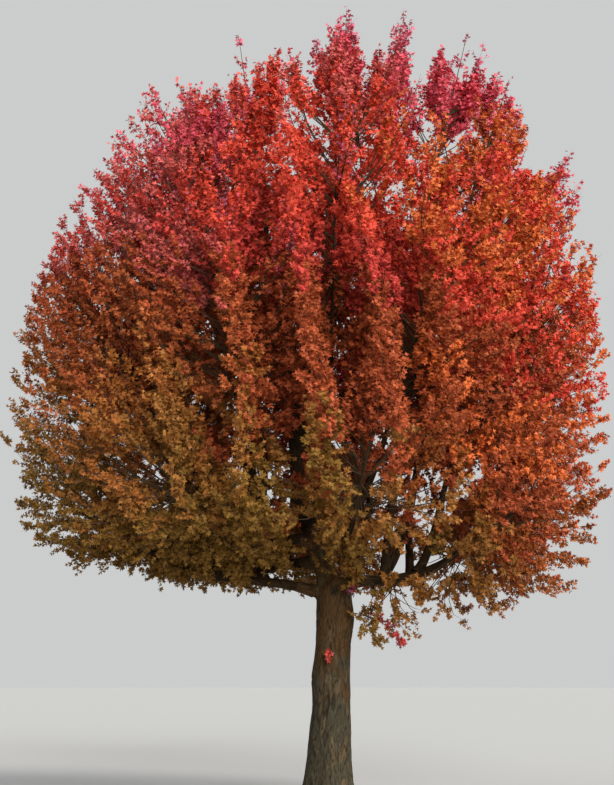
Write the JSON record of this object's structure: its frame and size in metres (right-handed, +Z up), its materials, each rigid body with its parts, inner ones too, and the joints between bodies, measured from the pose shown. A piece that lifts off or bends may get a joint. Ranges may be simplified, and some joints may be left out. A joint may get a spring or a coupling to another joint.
{
  "type": "broad-crowned maple tree",
  "caption": "Maple tree in autumn red, orange and olive: a stout leaning trunk with a root flare, spreading limbs, rising boughs and a broad dome of upright leafy shoots.",
  "frame": {"origin": "middle of the flat cut under the trunk, at ground level", "axes": "+Z up the trunk, +X to the right in the picture, +Y away from its camera"},
  "size_m": [8.0872, 8.0262, 11.3682],
  "materials": {
    "bark": "matte, flaking",
    "olive": "matte",
    "rust": "matte",
    "orange": "matte",
    "scarlet": "matte",
    "crimson": "matte"
  },
  "bodies": {
    "root": {"trunk": "bark", "leader": "bark", "crest_bough_1": "bark", "crest_bough_2": "bark", "crest_bough_3": "bark", "crest_bough_4": "bark", "crest_bough_5": "bark", "crest_bough_6": "bark", "limb_1": "bark", "limb_2": "bark", "limb_3": "bark", "limb_4": "bark", "limb_5": "bark", "limb_6": "bark", "limb_7": "bark", "middle_bough_1": "bark", "middle_bough_2": "bark", "middle_bough_3": "bark", "middle_bough_4": "bark", "middle_bough_5": "bark", "middle_bough_6": "bark", "middle_bough_7": "bark", "upper_bough_1": "bark", "upper_bough_2": "bark", "upper_bough_3": "bark", "upper_bough_4": "bark", "upper_bough_5": "bark", "upper_bough_6": "bark", "upper_bough_7": "bark", "top_foliage": "crimson", "crest_foliage_1": "crimson", "crest_foliage_2": "crimson", "crest_foliage_3": "crimson", "crest_foliage_4": "crimson", "crest_foliage_5": "crimson", "crest_foliage_6": "crimson", "skirt_foliage_1": "orange", "skirt_foliage_2": "orange", "skirt_foliage_3": "rust", "skirt_foliage_4": "olive", "skirt_foliage_5": "olive", "skirt_foliage_6": "olive", "skirt_foliage_7": "rust", "middle_foliage_1": "scarlet", "middle_foliage_2": "scarlet", "middle_foliage_3": "rust", "middle_foliage_4": "rust", "middle_foliage_5": "rust", "middle_foliage_6": "rust", "middle_foliage_7": "scarlet", "upper_foliage_1": "scarlet", "upper_foliage_2": "scarlet", "upper_foliage_3": "scarlet", "upper_foliage_4": "crimson", "upper_foliage_5": "crimson", "upper_foliage_6": "crimson", "upper_foliage_7": "crimson", "low_sprout": "scarlet", "head_sprout": "scarlet", "hanging_sprout": "scarlet"}
  },
  "joints": []
}
